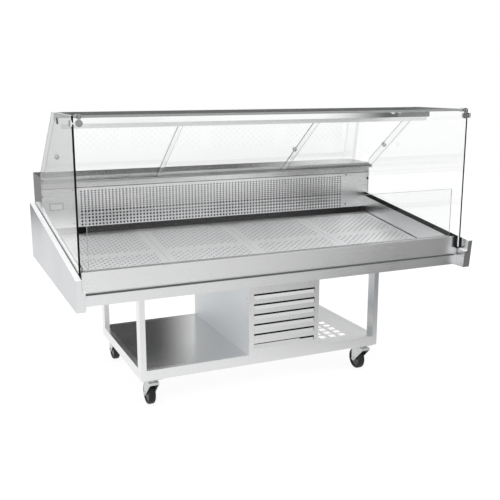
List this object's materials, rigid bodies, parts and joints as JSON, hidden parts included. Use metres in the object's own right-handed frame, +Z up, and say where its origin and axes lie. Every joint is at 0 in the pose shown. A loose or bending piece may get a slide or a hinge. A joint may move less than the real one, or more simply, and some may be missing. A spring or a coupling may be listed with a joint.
{
  "type": "refrigerated fish display counter",
  "caption": "stainless self-service display counter on braked casters, sloping deck, low front pane, glass ends, lit shelf, sliding rear doors and an open base with a louvred cooling unit",
  "frame": {"origin": "on the floor under the middle of the counter's outline", "axes": "+X along the counter to a customer's right, -Y towards the customer, +Z up"},
  "size_m": [1.9, 1.117, 1.3455],
  "materials": {
    "stainless": "satin",
    "clear_glass": "polished",
    "clear_plastic": "polished",
    "black_rubber": "matte",
    "tyre": "matte",
    "black_plastic": "matte",
    "grey_plastic": "satin",
    "opal": "opal",
    "foam": "matte",
    "aluminium": "anodised",
    "polished": "polished",
    "black_paint": "gloss",
    "copper": "bright",
    "zinc": "zinc plated"
  },
  "bodies": {
    "counter": {"air_panel": "stainless", "base_frame": "stainless", "caster_plates": "zinc", "compressor": "black_paint", "condenser_coil": "black_paint", "condenser_fan_motor": "black_paint", "condenser_fan_shroud": "stainless", "deck_bearers": "stainless", "door_rails": "aluminium", "end_cheek_left": "stainless", "end_cheek_right": "stainless", "evaporator_coil": "aluminium", "evaporator_fan_motors": "black_paint", "evaporator_fan_plate": "black_paint", "front_fascia": "stainless", "front_pane": "clear_glass", "glass_clamp_bars": "stainless", "glass_gaskets": "black_rubber", "lamp_diffuser": "opal", "lamp_housing": "stainless", "lower_shelf": "stainless", "plenum_housing": "stainless", "refrigerant_pipes": "copper", "shelf_clamps": "stainless", "side_glass_left": "clear_glass", "side_glass_right": "clear_glass", "temperature_display": "grey_plastic", "top_shelf": "clear_glass", "tub_insulation": "foam", "tub_liner": "stainless", "tub_outer_pan": "stainless", "unit_louvre_panel": "stainless", "unit_side_panels": "stainless"},
    "door_left": {"door_left": "clear_plastic", "door_knob_left": "polished"},
    "door_middle": {"door_middle": "clear_plastic", "door_knob_middle": "polished"},
    "door_right": {"door_right": "clear_plastic", "door_knob_right": "polished"},
    "condenser_fan": {"condenser_fan": "black_plastic"},
    "evaporator_fan_left": {"evaporator_fan_left": "black_plastic"},
    "evaporator_fan_right": {"evaporator_fan_right": "black_plastic"},
    "deck_panel_1": {"deck_panel_1": "stainless"},
    "deck_panel_2": {"deck_panel_2": "stainless"},
    "deck_panel_3": {"deck_panel_3": "stainless"},
    "deck_panel_4": {"deck_panel_4": "stainless"},
    "caster_front_left": {"caster_fork_front_left": "zinc", "caster_axle_front_left": "zinc"},
    "wheel_front_left": {"caster_wheel_front_left": "tyre"},
    "caster_front_right": {"caster_fork_front_right": "zinc", "caster_axle_front_right": "zinc"},
    "wheel_front_right": {"caster_wheel_front_right": "tyre"},
    "caster_rear_left": {"caster_fork_rear_left": "zinc", "caster_axle_rear_left": "zinc"},
    "wheel_rear_left": {"caster_wheel_rear_left": "tyre"},
    "caster_rear_right": {"caster_fork_rear_right": "zinc", "caster_axle_rear_right": "zinc"},
    "wheel_rear_right": {"caster_wheel_rear_right": "tyre"},
    "pedal_front_left": {"brake_pedal_front_left": "black_plastic"},
    "pedal_front_right": {"brake_pedal_front_right": "black_plastic"}
  },
  "joints": [
    {"name": "door_left_slide", "type": "slide", "parent": "counter", "child": "door_left", "axis": [1, 0, 0], "range_m": [0, 0.49]},
    {"name": "door_middle_slide", "type": "slide", "parent": "counter", "child": "door_middle", "axis": [1, 0, 0], "range_m": [-0.49, 0.49]},
    {"name": "door_right_slide", "type": "slide", "parent": "counter", "child": "door_right", "axis": [1, 0, 0], "range_m": [-0.49, 0]},
    {"name": "deck_panel_1_lift", "type": "slide", "parent": "counter", "child": "deck_panel_1", "axis": [0, 0, 1], "range_m": [0, 0.2]},
    {"name": "deck_panel_2_lift", "type": "slide", "parent": "counter", "child": "deck_panel_2", "axis": [0, 0, 1], "range_m": [0, 0.2]},
    {"name": "deck_panel_3_lift", "type": "slide", "parent": "counter", "child": "deck_panel_3", "axis": [0, 0, 1], "range_m": [0, 0.2]},
    {"name": "deck_panel_4_lift", "type": "slide", "parent": "counter", "child": "deck_panel_4", "axis": [0, 0, 1], "range_m": [0, 0.2]},
    {"name": "swivel_front_left", "type": "hinge", "parent": "counter", "child": "caster_front_left", "pos_m": [-0.563, -0.2185, 0.133], "axis": [0, 0, 1], "continuous": true},
    {"name": "roll_front_left", "type": "hinge", "parent": "caster_front_left", "child": "wheel_front_left", "pos_m": [-0.563, -0.1755, 0.054], "axis": [1, 0, 0], "continuous": true},
    {"name": "brake_front_left", "type": "hinge", "parent": "caster_front_left", "child": "pedal_front_left", "pos_m": [-0.563, -0.1695, 0.1135], "axis": [1, 0, 0], "range_deg": [0, 6]},
    {"name": "swivel_front_right", "type": "hinge", "parent": "counter", "child": "caster_front_right", "pos_m": [0.563, -0.2185, 0.133], "axis": [0, 0, 1], "continuous": true},
    {"name": "roll_front_right", "type": "hinge", "parent": "caster_front_right", "child": "wheel_front_right", "pos_m": [0.563, -0.1755, 0.054], "axis": [1, 0, 0], "continuous": true},
    {"name": "brake_front_right", "type": "hinge", "parent": "caster_front_right", "child": "pedal_front_right", "pos_m": [0.563, -0.1695, 0.1135], "axis": [1, 0, 0], "range_deg": [0, 6]},
    {"name": "swivel_rear_left", "type": "hinge", "parent": "counter", "child": "caster_rear_left", "pos_m": [-0.563, 0.4315, 0.133], "axis": [0, 0, 1], "continuous": true},
    {"name": "roll_rear_left", "type": "hinge", "parent": "caster_rear_left", "child": "wheel_rear_left", "pos_m": [-0.563, 0.4745, 0.054], "axis": [1, 0, 0], "continuous": true},
    {"name": "swivel_rear_right", "type": "hinge", "parent": "counter", "child": "caster_rear_right", "pos_m": [0.563, 0.4315, 0.133], "axis": [0, 0, 1], "continuous": true},
    {"name": "roll_rear_right", "type": "hinge", "parent": "caster_rear_right", "child": "wheel_rear_right", "pos_m": [0.563, 0.4745, 0.054], "axis": [1, 0, 0], "continuous": true},
    {"name": "condenser_fan_spin", "type": "hinge", "parent": "counter", "child": "condenser_fan", "pos_m": [0.089, -0.1343, 0.359], "axis": [0, 1, 0], "continuous": true},
    {"name": "evaporator_fan_left_spin", "type": "hinge", "parent": "counter", "child": "evaporator_fan_left", "pos_m": [-0.43, 0.3615, 0.863], "axis": [0, 1, 0], "continuous": true},
    {"name": "evaporator_fan_right_spin", "type": "hinge", "parent": "counter", "child": "evaporator_fan_right", "pos_m": [0.43, 0.3615, 0.863], "axis": [0, 1, 0], "continuous": true}
  ]
}
